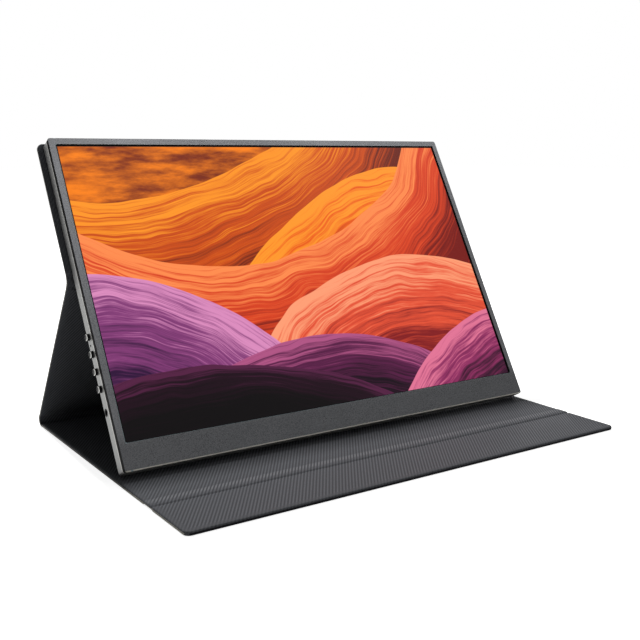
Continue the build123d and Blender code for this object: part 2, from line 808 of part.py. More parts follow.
def make_speakers():
    """Two flat speakers on the back plate, and the wires to the main board."""
    length, width, height = speaker_size
    parts = {}
    for name, side in (("left_speaker", -1), ("right_speaker", 1)):
        middle = side * (speaker_end_x - length / 2)
        body = block(length, width, height, middle, speaker_bottom, floor_z)
        body = fillet(body.edges().filter_by(Axis.Z), speaker_corner)
        chamber_y = speaker_bottom + (width - speaker_slot[1]) / 2
        chamber = block(length / 2, speaker_slot[1], speaker_chamber, middle, chamber_y, floor_z)
        parts[name] = body - chamber

    # Each wire leaves its speaker and meets the board's connector along X. The left one is the longer.
    speaker_x = speaker_end_x - length
    speaker_y = speaker_bottom + width / 2
    left_y = wire_connector_middle + wire_spacing / 2
    right_y = wire_connector_middle - wire_spacing / 2
    left_route = [
        (-speaker_x, speaker_y),
        (-speaker_x + wire_lead, speaker_y),
        (-speaker_x + 3 * wire_lead, wire_run_y),
        (0, wire_run_y + wire_sag),
        (main_board_x - 4 * wire_lead, wire_run_y),
        (main_board_x - 1.6 * wire_lead, left_y),
        (main_board_x, left_y),
    ]
    right_route = [
        (speaker_x, speaker_y),
        (speaker_x - wire_lead, speaker_y),
        (speaker_x - 2 * wire_lead, speaker_y + 0.6 * wire_lead),
        (main_board_x - 1.4 * wire_lead, right_y - 0.5 * wire_lead),
        (main_board_x - wire_lead, right_y),
        (main_board_x, right_y),
    ]
    wires = [round_wire([(x, y, -wire_depth) for x, y in route]) for route in (left_route, right_route)]
    parts["speaker_wires"] = group(wires)
    return parts


def make_screws():
    """Screws of one size, shown as groups: for the boards and for the rear cover."""
    board_screws = []
    for sites, front in (
        (main_board_screws, socket_board_front_z),
        (button_board_screws, button_board_front_z),
    ):
        for x, y in sites:
            screw = disc(screw_head_radius, screw_head, x, y, front)
            screw = fillet(screw.edges().sort_by(Axis.Z)[-1], screw_head_round)
            screw += disc(screw_radius, screw_reach, x, y, front - screw_reach)
            board_screws.append(screw)
    cover_screws = []
    standoffs = []
    head_z = back_z + cover_screw_head_gap
    shank_z = back_z + cover_screw_sink
    hole_depth = screw_reach + 2 * back_plate
    for x, y in standoff_sites:
        screw = disc(cover_screw_head_radius, shank_z - head_z, x, y, head_z)
        screw += disc(screw_radius, screw_reach + back_plate, x, y, shank_z)
        cover_screws.append(screw - Pos(x, y, head_z) * Box(*cover_screw_slot))
        standoff = disc(standoff_radius, chassis_back_z - floor_z, x, y, floor_z)
        standoffs.append(standoff - disc(screw_hole_radius, hole_depth, x, y, back_z))
    return {
        "board_screws": group(board_screws),
        "cover_screws": group(cover_screws),
        "chassis_standoffs": group(standoffs),
    }


def make_monitor():
    """Every piece of the monitor, in the screen's own frame."""
    parts = {"front_frame": make_front_frame()}
    parts |= make_seals()
    parts |= {"mid_frame": make_mid_frame(), "rear_cover": make_rear_cover()}
    parts |= make_display()
    parts |= make_timing_parts()
    parts |= make_main_board()
    parts |= make_button_board()
    parts |= make_buttons()
    parts |= make_cables()
    parts |= make_speakers()
    parts |= make_screws()
    parts["monitor_magnets"] = group(bars(magnet_sites, monitor_magnet_thickness, floor_z))
    return {name: screen_place * part for name, part in parts.items()}


nodes = make_flap() | make_base() | make_strut() | make_back_panel() | make_folds() | make_monitor()
os.makedirs("parts", exist_ok=True)
for name, part in nodes.items():
    export_step(part, f"parts/{name}.step")

print("nodes", len(nodes))
print("heel axis", round(heel_y, 3), round(heel_radius, 3))
print("knee axis", round(knee_y, 3), round(knee_z, 3))
print("crease axis", round(crease_y, 3), round(crease_z + crease_leather / 2, 3))
print("screen origin", round(screen_y, 3), round(screen_z, 3), "tilt", screen_tilt)
print("leg", round(leg_length, 3), "leg angle", round(leg_angle, 3), "sliding edge y", round(edge_y, 3))
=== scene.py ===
# %% [markdown]
# # A portable monitor on its folding leather cover
# The metal monitor, its keys, sockets and inside parts come ready made as solids. This lesson dresses
# them: it models the leather cover, draws the picture on the screen, mixes every finish and lights the
# whole. Lengths are in metres. X is to the right, Y to the back and Z up.

# %% Load the solids
import json
from math import asin, atan2, ceil, cos, degrees, hypot, pi, radians, sin

import bmesh
import bpy
import numpy as np
from mathutils import Matrix, Vector


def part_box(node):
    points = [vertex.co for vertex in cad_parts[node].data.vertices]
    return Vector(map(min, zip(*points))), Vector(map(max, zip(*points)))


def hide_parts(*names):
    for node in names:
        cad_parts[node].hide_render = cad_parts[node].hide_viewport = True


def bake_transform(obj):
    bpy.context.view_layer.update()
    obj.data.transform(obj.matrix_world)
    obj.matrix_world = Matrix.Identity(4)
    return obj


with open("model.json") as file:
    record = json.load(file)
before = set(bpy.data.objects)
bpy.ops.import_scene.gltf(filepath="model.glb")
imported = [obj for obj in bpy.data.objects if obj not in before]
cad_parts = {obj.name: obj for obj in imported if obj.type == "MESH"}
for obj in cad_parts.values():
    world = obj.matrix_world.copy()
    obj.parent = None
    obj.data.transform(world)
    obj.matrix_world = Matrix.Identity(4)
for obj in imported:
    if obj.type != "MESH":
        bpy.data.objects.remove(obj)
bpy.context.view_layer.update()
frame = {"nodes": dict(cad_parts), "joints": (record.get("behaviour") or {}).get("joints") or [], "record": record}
mm = 0.001
joints = {joint["name"]: joint for joint in frame["joints"]}

# %% [markdown]
# ## The camera
# The picture's four corners, the cover's outline and the knee were measured on the photograph, and one
# camera was solved for all of them. It stands at the left and a little above, close enough to make the
# right side of the screen clearly smaller. Its axes are worked out from the two angles and a slight roll.

# %% Place the camera
picture_side = 640
focal_pixels = 933.48
sensor_width = 36.0
camera_point = Vector((-0.39613, -0.56794, 0.21420))
camera_yaw = 0.6016
camera_pitch = 0.1856
camera_roll = 0.0063
near_clip = 0.01


def place_camera():
    """A camera that looks along the solved direction, with its lens in millimetres."""
    forward = Vector(
        (sin(camera_yaw) * cos(camera_pitch), cos(camera_yaw) * cos(camera_pitch), -sin(camera_pitch))
    )
    level = Vector((cos(camera_yaw), -sin(camera_yaw), 0))
    upright = level.cross(forward)
    right = cos(camera_roll) * level + sin(camera_roll) * upright
    up = cos(camera_roll) * upright - sin(camera_roll) * level
    bpy.ops.object.camera_add(location=camera_point)
    camera = bpy.context.object
    camera.data.sensor_width = sensor_width
    camera.data.lens = focal_pixels * sensor_width / picture_side
    camera.data.clip_start = near_clip
    turn = Matrix((right, up, -forward)).transposed().to_4x4()
    camera.matrix_world = Matrix.Translation(camera_point) @ turn
    bpy.context.scene.camera = camera
    return camera


camera = place_camera()
print("lens", round(camera.data.lens, 2), "mm")

# %% [markdown]
# ## Where things are
# The folds' axes come from the joints. The screen leans back, so it gets its own frame: X to the right,
# Y up its face from the bottom edge and Z out of it. A vector in that frame becomes a place by one turn.

# %% Read the axes and the screen's frame
heel = Vector(joints["strut_fold"]["pos_m"])
knee = Vector(joints["back_fold"]["pos_m"])
crease = Vector(joints["flap_fold"]["pos_m"])
screen_tilt = radians(29.9)
face_angle = radians(90) - screen_tilt
knee_height = 138.4 * mm
monitor_thickness = 12.5 * mm
panel_thickness = 3.0 * mm
screen_turn = Matrix.Rotation(face_angle, 4, "X")
screen_origin = knee - screen_turn @ Vector((0, knee_height, -monitor_thickness - panel_thickness))
print("screen origin", [round(value * 1000, 2) for value in screen_origin])

# %% [markdown]
# ## Helpers for modelling
# Most operators act on everything that is selected, and the loaded solids come selected, so a piece
# starts with a clean selection. A bisect with no cap is the one cut that the leather needs.

# %% Selection and cutting helpers
def only(piece):
    """Selects one object alone and makes it active."""
    bpy.ops.object.select_all(action="DESELECT")
    piece.select_set(True)
    bpy.context.view_layer.objects.active = piece


def cut(point, normal, drop=False):
    """Cuts the selected faces along a plane, and drops what lies on the normal's side if asked."""
    bpy.ops.mesh.bisect(plane_co=point, plane_no=normal, clear_outer=drop, threshold=1e-7)


bpy.ops.object.select_all(action="DESELECT")

# %% [markdown]
# ## The cover as one flat sheet
# The real cover is one skin from the front flap, under the screen, round the heel, up the strut and
# over the monitor's back. So it is modelled flat first, with x across and s along, and bent after. s is
# y as far as the heel, and runs on as the length over the outer face. The ribs pressed into the leather
# are 2.06 mm apart and run 35.2 degrees off the sides, so the sheet starts as narrow strips along them:
# every rib then is real geometry, with very few faces.

# %% The sheet's measures
cover_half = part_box("base_skin")[1].x
front_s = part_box("flap_skin")[0].y
heel_radius = heel.z
strut_thickness = 2.6 * mm
crease_half = 5.8 * mm
crease_front = crease.y - crease_half
crease_back = crease.y + crease_half
knee_half = 4.0 * mm
panel_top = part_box("back_panel_skin")[1].z
corner_radius = 4.5 * mm
edge_round = 1.1 * mm
hem_width = 5.0 * mm
rib_pitch = 2.06 * mm
rib_angle = radians(35.2)
rib_steps = 6
rib_depth = 0.24 * mm

# The strut leaves the heel at a tangent, and the knee's leather rounds the corner to the back panel.
to_knee = hypot(heel.y - knee.y, knee.z - heel.z)
strut_slope = atan2(knee.z - heel.z, heel.y - knee.y) - asin(heel_radius / to_knee)
heel_turn = pi - strut_slope
heel_arc = heel_radius * heel_turn
strut_start = heel.y + heel_arc
strut_length = (to_knee**2 - heel_radius**2) ** 0.5
knee_start = strut_start + strut_length - knee_half
knee_turn = pi - face_angle - strut_slope
knee_radius = knee_half / np.tan(knee_turn / 2)
knee_arc = knee_radius * knee_turn
back_start = knee_start + knee_arc
top_edge = screen_turn @ Vector((0, 1, 0))
back_length = (panel_top - knee.z) / top_edge.z - knee_half
stop_s = back_start + back_length
print("sheet length", round((stop_s - front_s) * 1000, 1), "mm, strut slope", round(degrees(strut_slope), 2))

# %% [markdown]
# ## Bending the sheet
# Every point of the flat sheet has an x, a length s and a depth t below the outer face. One formula takes
# it to its place: flat under the screen, round the heel, up the strut, round the knee and up the back.
# The same formula serves every part of the cover, so the seams between its pieces can't drift apart.

# %% Bend flat points
def bend(x, s, t):
    """Places of flat points, as rows of x, y and z."""
    round_heel = np.clip(s - heel.y, 0, heel_arc) / heel_radius
    up_strut = np.clip(s - strut_start, 0, knee_start - strut_start)
    round_knee = np.clip(s - knee_start, 0, knee_arc) / knee_radius
    up_back = np.clip(s - back_start, 0, None)
    heading = heel_turn - round_knee
    y = np.minimum(s, heel.y) + heel_radius * np.sin(round_heel) + up_strut * cos(heel_turn)
    y += knee_radius * (sin(heel_turn) - np.sin(heading)) + up_back * cos(face_angle)
    z = heel_radius * (1 - np.cos(round_heel)) + up_strut * sin(heel_turn)
    z += knee_radius * (np.cos(heading) - cos(heel_turn)) + up_back * sin(face_angle)
    turn = round_heel - round_knee
    return np.stack([x, y - t * np.sin(turn), z + t * np.cos(turn)], axis=1)


print("knee", np.round(bend(*np.array([[0.0], [knee_start + knee_arc / 2], [0.0]])) * 1000, 2))

# %% [markdown]
# ## Thickness along the sheet
# Each panel holds a stiff board, and between two boards the leather alone runs through, so the sheet is
# thinner at the heel and the knee. At the crease the press left a groove with a low ridge behind it. A list
# of stops gives the inner face's height, and a soft step joins each stop to the next.

# %% Stops of the inner and outer face
shoulder = 1.7 * mm
crease_groove = 2.4 * mm
crease_ridge = 3.3 * mm
crease_recess = 0.6 * mm
heel_leather = 1.5 * mm
knee_leather = 1.4 * mm
panel = panel_thickness
inner_stops = [
    (front_s, panel),
    (crease_front - shoulder, panel),
    (crease_front, crease_groove),
    (crease_front + shoulder, crease_ridge),
    (crease_back - shoulder, crease_ridge),
    (crease_back, panel),
    (heel.y - 2 * shoulder, panel),
    (heel.y, heel_leather),
    (strut_start, heel_leather),
    (strut_start + shoulder, strut_thickness),
    (knee_start - shoulder, strut_thickness),
    (knee_start, knee_leather),
    (back_start, knee_leather),
    (back_start + shoulder, panel),
    (stop_s, panel),
]
outer_stops = [
    (front_s, 0),
    (crease_front - shoulder, 0),
    (crease_front, crease_recess),
    (crease_back, crease_recess),
    (crease_back + shoulder, 0),
    (stop_s, 0),
]


def ease(value):
    """Smooth step from 0 to 1."""
    value = np.clip(value, 0, 1)
    return value * value * (3 - 2 * value)


def level(s, stops):
    """Height at lengths s, by soft steps between the stops."""
    places, heights = np.array(stops).T
    after = np.clip(np.searchsorted(places, s), 1, len(places) - 1)
    share = ease((s - places[after - 1]) / (places[after] - places[after - 1]))
    return heights[after - 1] + share * (heights[after] - heights[after - 1])


def rim_distance(x, s):
    """Distance from the cover's outline, which is a rectangle with round corners."""
    from_side = cover_half - np.abs(x)
    from_end = np.minimum(s - front_s, stop_s - s)
    in_corner = (from_side < corner_radius) & (from_end < corner_radius)
    round_way = corner_radius - np.hypot(corner_radius - from_side, corner_radius - from_end)
    return np.where(in_corner, round_way, np.minimum(from_side, from_end))


print("mid panel", round(float(level(np.array([0.0]), inner_stops)[0] * 1000), 2), "mm")

# %% [markdown]
# ## Cutting the strips
# A grid with one cell along each strip is laid at the ribs' angle and trimmed with bisect to the outline.
# More cuts follow where the surface has to turn: along the rim, along the turned hem, and across each
# fold. The round corners are cut into narrow sectors first, so that the rim's lines can follow the curve.

# %% Lay the strips and trim them
strip_width = rib_pitch / rib_steps
hem_cut = 0.4 * mm
rim_lines = [0.15 * mm, 0.5 * mm, edge_round]
hem_lines = [hem_width - hem_cut, hem_width, hem_width + hem_cut]
sector_count = 9
merge_gap = 0.01 * mm
overlap = 1.02


def lay_strips(name, low_s, high_s):
    """A sheet of strips along the ribs that covers the stretch between two lengths."""
    half_run = (high_s - low_s) / 2
    middle_s = (high_s + low_s) / 2
    strips = 2 * ceil((cover_half * cos(rib_angle) + half_run * sin(rib_angle)) / strip_width + 1)
    across = round(-middle_s * sin(rib_angle) / strip_width) * strip_width
    along = middle_s * cos(rib_angle)
    middle_x = across * cos(rib_angle) + along * sin(rib_angle)
    middle_y = along * cos(rib_angle) - across * sin(rib_angle)
    reach = 2 * (cover_half * sin(rib_angle) + half_run * cos(rib_angle)) * overlap
    bpy.ops.mesh.primitive_grid_add(
        x_subdivisions=strips, y_subdivisions=1, size=1, location=(middle_x, middle_y, 0),
        rotation=(0, 0, -rib_angle), scale=(strips * strip_width, reach, 1),
    )
    piece = bpy.context.object
    piece.name = name
    bpy.ops.object.transform_apply(location=True, rotation=True, scale=True)
    return piece


def slice_all(point, normal, drop=False):
    """Cuts every visible face along a plane."""
    bpy.ops.mesh.select_all(action="SELECT")
    cut(point, normal, drop)


def pick(piece, test):
    """Selects the faces whose middle passes a test."""
    bpy.ops.mesh.select_all(action="DESELECT")
    edited = bmesh.from_edit_mesh(piece.data)
    for face in edited.faces:
        if not face.hide and test(face.calc_center_median()):
            face.select_set(True)
    bmesh.update_edit_mesh(piece.data, loop_triangles=False, destructive=False)


def end_place(end):
    """Length at which the sheet ends: at the flap's front or the back panel's top."""
    return front_s if end < 0 else stop_s


def trim_corner(piece, side, end):
    """Rounds one corner: side is the way along x, end the way along s."""
    centre = Vector((side * (cover_half - corner_radius), end_place(end) - end * corner_radius, 0))
    slice_all(centre, (0, 1, 0))
    pick(piece, lambda at: (at.y - centre.y) * end > 0)
    bpy.ops.mesh.hide(unselected=True)
    slice_all(centre, (1, 0, 0))
    pick(piece, lambda at: (at.x - centre.x) * side > 0)
    bpy.ops.mesh.hide(unselected=True)
    step = pi / 2 / sector_count
    facings = []
    for index in range(sector_count):
        middle = (index + 0.5) * step
        facings.append(Vector((side * cos(middle), end * sin(middle), 0)))
    for facing in facings:
        slice_all(centre + facing * corner_radius * cos(step / 2), facing, drop=True)
    for index in range(1, sector_count):
        angle = index * step
        slice_all(centre, (side * -sin(angle), end * cos(angle), 0))
    for facing in facings:
        for offset in rim_lines + hem_lines:
            pick(piece, lambda at: (at - centre).angle(facing) < step / 2)
            cut(centre + facing * (corner_radius - offset) * cos(step / 2), facing)
    bpy.ops.mesh.reveal(select=False)


print("strips", round(strip_width / mm, 3), "mm wide")

# %% [markdown]
# The sheet is made in three stretches, one for each fold. A stretch is cut on all its lines while it is one
# flat layer, where a cut is exact and cheap. Then it is extruded, so both its faces carry the same lines.

# %% Cut a stretch of the sheet
def fold_lines(start, stop, count):
    """Evenly spread cuts across the sheet between two lengths."""
    return list(np.linspace(start, stop, count + 1))


def cut_sheet(name, low_s, high_s, end, lines):
    """The flat stretch between two lengths. end is -1 or 1 where it has a free end, else 0."""
    piece = lay_strips(name, low_s, high_s)
    only(piece)
    bpy.ops.object.mode_set(mode="EDIT")
    bpy.context.tool_settings.mesh_select_mode = (False, False, True)
    for side in (-1, 1):
        slice_all((side * cover_half, 0, 0), (side, 0, 0), drop=True)
    slice_all((0, low_s, 0), (0, -1, 0), drop=True)
    slice_all((0, high_s, 0), (0, 1, 0), drop=True)
    if end:
        for side in (-1, 1):
            trim_corner(piece, side, end)
        for offset in rim_lines + hem_lines:
            slice_all((0, end_place(end) - end * offset, 0), (0, 1, 0))
    for side in (-1, 1):
        for offset in rim_lines + hem_lines:
            slice_all((side * (cover_half - offset), 0, 0), (1, 0, 0))
    for line in lines:
        slice_all((0, line, 0), (0, 1, 0))
    bpy.ops.mesh.select_all(action="SELECT")
    bpy.ops.mesh.remove_doubles(threshold=merge_gap)
    bpy.ops.mesh.extrude_region_move(TRANSFORM_OT_translate={"value": (0, 0, panel_thickness)})
    bpy.ops.mesh.select_all(action="SELECT")
    bpy.ops.mesh.normals_make_consistent(inside=False)
    bpy.ops.object.mode_set(mode="OBJECT")
    return piece


print("lines along each free edge", len(rim_lines + hem_lines))

# %% [markdown]
# ## From a flat sheet to leather
# Now every point gets its height. The ribs are a cosine across their pitch, press only a third as deep
# into the turned hem and fade out at the rim. The rim is a quarter round, smaller on thin leather. A
# point's place on the flat sheet stays with it as an attribute, so the grain is drawn there and bends with
# the folds.

# %% Press the ribs and bend
hem_share = 0.3
hem_dip = 0.08 * mm
hem_dip_width = 0.35 * mm
thin_share = 0.45
smooth_angle = radians(50)


def press_and_bend(piece):
    """Gives a cut sheet its ribs, hem and round rim, and bends it to its place."""
    points = np.empty(len(piece.data.vertices) * 3)
    piece.data.vertices.foreach_get("co", points)
    x, s, side = points.reshape(-1, 3).T
    rim = rim_distance(x, s)
    inner = level(s, inner_stops)
    outer = level(s, outer_stops)
    across = x * cos(rib_angle) - s * sin(rib_angle)
    valley = 0.5 - 0.5 * np.cos(2 * pi * across / rib_pitch)
    strength = hem_share + (1 - hem_share) * ease((rim - hem_width) / hem_dip_width)
    strength *= ease((rim - rim_lines[0]) / edge_round)
    rounding = np.minimum(edge_round, thin_share * (inner - outer))
    short = rounding - np.clip(rim, 0, rounding)
    drop = rounding - np.sqrt(rounding**2 - short**2)
    dip = hem_dip * np.exp(-(((rim - hem_width) / hem_dip_width) ** 2))
    sink = rib_depth * valley * strength + dip + drop
    depth = np.where(side > panel_thickness / 2, inner - sink, outer + sink)
    piece.data.vertices.foreach_set("co", bend(x, s, depth).ravel())
    piece.data.update()
    flat = piece.data.attributes.new("flat", "FLOAT_VECTOR", "POINT")
    flat.data.foreach_set("vector", np.stack([x, s, depth], axis=1).ravel())
    only(piece)
    bpy.ops.object.shade_smooth_by_angle(angle=smooth_angle)
    print(piece.name, len(piece.data.polygons), "faces")


print("rib depth", round(rib_depth / mm, 2), "mm")

# %% [markdown]
# The flap and the base are one stretch of leather over two boards. The flap lifts at the crease between
# them, so cuts gather there, and the flat panels need none.

# %% Front flap, crease and base
crease_lines = fold_lines(crease_front - shoulder, crease_front + shoulder, 6)
crease_lines += fold_lines(crease_front + shoulder, crease_back - shoulder, 5)[1:-1]
crease_lines += fold_lines(crease_back - shoulder, crease_back + shoulder, 6)
heel_lines = fold_lines(heel.y - 2 * shoulder, heel.y, 3)[:-1]
flap_and_base = cut_sheet("flap_and_base_leather", front_s, heel.y, -1, crease_lines + heel_lines)
press_and_bend(flap_and_base)

# %% [markdown]
# The strut is the leg of the stand. At the heel the leather turns by more than a right angle on a small
# round, and twelve cuts keep that round smooth.

# %% Heel and strut
heel_cuts = fold_lines(heel.y, strut_start, 12)[1:] + fold_lines(strut_start, strut_start + shoulder, 3)[1:]
knee_cuts = fold_lines(knee_start - shoulder, knee_start, 3)[:-1]
strut_sheet = cut_sheet("heel_and_strut_leather", heel.y, knee_start, 0, heel_cuts + knee_cuts)
press_and_bend(strut_sheet)

# %% [markdown]
# The back panel holds the monitor by magnets. At the knee the leather turns the other way, and from there
# it follows the monitor's back up to a free edge with round corners.

# %% Knee and back panel
knee_lines = fold_lines(knee_start, back_start, 8)[1:] + fold_lines(back_start, back_start + shoulder, 3)[1:]
back_sheet = cut_sheet("knee_and_back_leather", knee_start, stop_s, 1, knee_lines)
press_and_bend(back_sheet)

# %% [markdown]
# On the real cover the folds are leather too, so no seam opens when a panel swings. Here each stretch is
# bent once into the pose it has, and stands for the solids it covers, which are hidden.


def bend_with(piece, nodes):
    """Hides the solids that the piece covers, so that it stands for them, and bakes its transform into the mesh.
    """
    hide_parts(*nodes)
    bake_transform(piece)


bend_with(
    flap_and_base,
    ["flap_skin", "flap_lining", "crease_fold", "base_skin", "base_lining"],
)
bend_with(
    strut_sheet,
    ["heel_fold", "strut_skin", "strut_lining"],
)
bend_with(
    back_sheet,
    ["knee_fold", "back_panel_skin", "back_panel_lining"],
)
leather_pieces = [flap_and_base, strut_sheet, back_sheet]
print("leather pieces", [piece.name for piece in leather_pieces])

# %% [markdown]
# ## Helpers for finishes
# A finish is a small graph of shader nodes. These helpers keep the graphs readable: a socket that is
# handed over gets linked, a plain value is set. What several finishes share becomes a node group with
# named inputs, so each finish places it with its own size and strength.

# %% Node helpers
def add_node(tree, kind, inputs=None, **settings):
    """Adds a node. An input given as a socket is linked, any other value is set."""
    made = tree.nodes.new(kind)
    for name, value in settings.items():
        setattr(made, name, value)
    for name, value in (inputs or {}).items():
        if isinstance(value, bpy.types.NodeSocket):
            tree.links.new(value, made.inputs[name])
        else:
            made.inputs[name].default_value = value
    return made


def calc(tree, operation, *values, clamp=False):
    """A Math node on one to three values."""
    inputs = dict(enumerate(values))
    return add_node(tree, "ShaderNodeMath", inputs, operation=operation, use_clamp=clamp).outputs[0]


def times(tree, first, second):
    """The product of two values."""
    return calc(tree, "MULTIPLY", first, second)


def split(tree, vector):
    """The x, y and z of a vector."""
    return add_node(tree, "ShaderNodeSeparateXYZ", {"Vector": vector}).outputs


def dot(tree, first, second):
    """The dot product of two vectors."""
    inputs = {0: first, 1: second}
    return add_node(tree, "ShaderNodeVectorMath", inputs, operation="DOT_PRODUCT").outputs["Value"]


def span(tree, value, low, high, start=0.0, stop=1.0):
    """Maps a value from one range to another with a smooth step."""
    inputs = {"Value": value, "From Min": low, "From Max": high, "To Min": start, "To Max": stop}
    return add_node(tree, "ShaderNodeMapRange", inputs, interpolation_type="SMOOTHSTEP").outputs["Result"]


def mix_colour(tree, share, first, second, blend="MIX"):
    """Mixes two colours. A colour is a socket or its numbers."""
    sockets = {0: share}
    for index, colour in ((6, first), (7, second)):
        sockets[index] = colour if isinstance(colour, bpy.types.NodeSocket) else (*colour[:3], 1)
    return add_node(tree, "ShaderNodeMix", sockets, data_type="RGBA", blend_type=blend).outputs[2]


def stretch(tree, place, scale):
    """A place scaled along x, y and z, so that a noise on it is drawn out."""
    return add_node(tree, "ShaderNodeMapping", {"Vector": place, "Scale": scale}).outputs["Vector"]


def noise(tree, place, scale, detail=2.0, roughness=0.5):
    """Soft noise from 0 to 1. The scale is in waves to each unit of the place."""
    inputs = {"Vector": place, "Scale": scale, "Detail": detail, "Roughness": roughness}
    return add_node(tree, "ShaderNodeTexNoise", inputs).outputs["Fac"]


def start_group(name, inputs, outputs):
    """A node group: its tree, the sockets it is given and the sockets it hands back."""
    group = bpy.data.node_groups.new(name, "ShaderNodeTree")
    for label, kind, value in inputs:
        socket = group.interface.new_socket(name=label, in_out="INPUT", socket_type="NodeSocket" + kind)
        if value is not None:
            socket.default_value = value
    for label, kind in outputs:
        group.interface.new_socket(name=label, in_out="OUTPUT", socket_type="NodeSocket" + kind)
    return group, group.nodes.new("NodeGroupInput").outputs, group.nodes.new("NodeGroupOutput").inputs


def start_finish(name, **constants):
    """A finish: its material, tree, shader and the place of a point on the object."""
    material = bpy.data.materials.new(name)
    material.use_nodes = True
    tree = material.node_tree
    shader = tree.nodes["Principled BSDF"]
    for label, value in constants.items():
        shader.inputs[label.replace("_", " ")].default_value = value
    return material, tree, shader, add_node(tree, "ShaderNodeTexCoord").outputs["Object"]


def feed(tree, shader, **sockets):
    """Links sockets to the shader's inputs. Height goes through a Bump node of a given depth."""
    height = sockets.pop("Height", None)
    depth = sockets.pop("depth", 0.0)
    for label, socket in sockets.items():
        tree.links.new(socket, shader.inputs[label.replace("_", " ")])
    if height is not None:
        bump = add_node(tree, "ShaderNodeBump", {"Height": height, "Distance": depth})
        tree.links.new(bump.outputs["Normal"], shader.inputs["Normal"])


print("helpers ready")

# %% [markdown]
# ## Shared effects
# Blasted and moulded surfaces share a fine grain: a tone for colour and gloss, and a height for bump.
# Handling leaves the same soft smudges on metal, glass and rubber, which only change the gloss. Both
# are groups that put out values, and the shader stays in each material.

# %% Groups for grain and smudges
grain_bump = 0.02 * mm
smudge_gloss = -0.06


def make_grain_group():
    """Fine grain of a chosen size, with a slower drift of tone under it."""
    group, given, result = start_group(
        "surface_grain",
        [("Place", "Vector", None), ("Waves", "Float", 1500.0), ("Drift", "Float", 0.25)],
        [("Tone", "Float"), ("Height", "Float")],
    )
    fine = noise(group, given["Place"], given["Waves"], detail=3.0, roughness=0.65)
    slow = noise(group, given["Place"], times(group, given["Waves"], 0.02))
    drift = times(group, calc(group, "SUBTRACT", slow, 0.5), given["Drift"])
    spread = span(group, fine, 0.3, 0.7)
    group.links.new(calc(group, "ADD", spread, drift, clamp=True), result["Tone"])
    group.links.new(fine, result["Height"])
    return group


def make_smudge_group():
    """Soft patches left by handling, from 0 where clean to 1."""
    group, given, result = start_group(
        "handling_smudges", [("Place", "Vector", None), ("Waves", "Float", 14.0)], [("Mask", "Float")]
    )
    patches = noise(group, given["Place"], given["Waves"], detail=4.0, roughness=0.6)
    wiped = noise(group, stretch(group, given["Place"], (1.0, 6.0, 6.0)), given["Waves"], detail=3.0)
    both = times(group, span(group, patches, 0.45, 0.75), span(group, wiped, 0.35, 0.7, 0.3, 1.0))
    group.links.new(both, result["Mask"])
    return group


grain_group = make_grain_group()
smudge_group = make_smudge_group()


def place_group(tree, group, **inputs):
    """Places a node group with its inputs and hands back its outputs."""
    return add_node(tree, "ShaderNodeGroup", inputs, node_tree=group).outputs


print("groups", [group.name for group in bpy.data.node_groups])

# %% [markdown]
# ## Metals
# The frame is aluminium, blasted and dyed dark grey, and the back shell is the same metal left silver. A
# blasted face shows a very fine speckle, so tone, gloss and bump all come from one grain. The edges carry
# painted light and shade, and a finish finds them by their normal and their place on the screen's face.

# %% Blasted metal, and places on the screen's face
window_half = 173.4 * mm
window_foot = 18.9 * mm
inner_wall = 178.3 * mm
half_height = 120.5 * mm
edge_zone = 0.8 * mm
# Painted shade: this black fills the frame's walls, the gap behind the frame and the shell's openings.
painted_shade_black = (0.010, 0.010, 0.011)
faint_sheen = 0.03


def on_face(tree, place, origin=screen_origin, unit=1.0):
    """A place measured from an origin: x across the screen, y up its face and z out of it."""
    settings = {"Vector": place, "Location": origin, "Rotation": (face_angle, 0, 0), "Scale": (unit,) * 3}
    return add_node(tree, "ShaderNodeMapping", settings, vector_type="TEXTURE").outputs["Vector"]


def facing(tree, way):
    """How far a surface faces a way, from -1 to 1."""
    return dot(tree, add_node(tree, "ShaderNodeTexCoord").outputs["Normal"], way)


def blasted_metal(name, tones, waves, rough):
    """Fine speckled metal between two tones. The caller adds the edges to the speckle and links it."""
    material, tree, shader, place = start_finish(name, Specular_IOR_Level=faint_sheen)
    grain = place_group(tree, grain_group, Place=place, Waves=waves, Drift=0.35)
    smudge = place_group(tree, smudge_group, Place=place, Waves=18.0)["Mask"]
    speckle = mix_colour(tree, grain["Tone"], *tones)
    gloss = span(tree, grain["Tone"], 0, 1, rough - 0.05, rough + 0.05)
    gloss = calc(tree, "MULTIPLY_ADD", smudge, smudge_gloss, gloss)
    feed(tree, shader, Roughness=gloss, Height=grain["Height"], depth=grain_bump)
    return material, tree, shader, place, speckle


print("window", round(2 * window_half / mm, 1), "mm wide")

# %% [markdown]
# The frame's walls are painted black as shade, and painted shade darkens the face on the chin. The long
# chamfer at the foot is raw cut metal, painted pale and matte as its highlight, and the window's edge at
# the left and below gets a painted reflection. The normal finds a chamfer, and its place tells which it is.

# %% The front frame
frame_tones = (0.075, 0.077, 0.081), (0.146, 0.148, 0.155)
# The foot's chamfer is raw cut metal, painted pale and matte as its highlight.
foot_chamfer_painted_highlight = (0.80, 0.78, 0.70)
# Painted reflection on the window's edge.
window_chamfer_painted_reflection = (0.40, 0.50, 0.53)
# Painted shade: the face's tone is multiplied by this on the chin.
chin_painted_shade = 0.66
chin_start = 15 * mm
chin_stop = 27 * mm


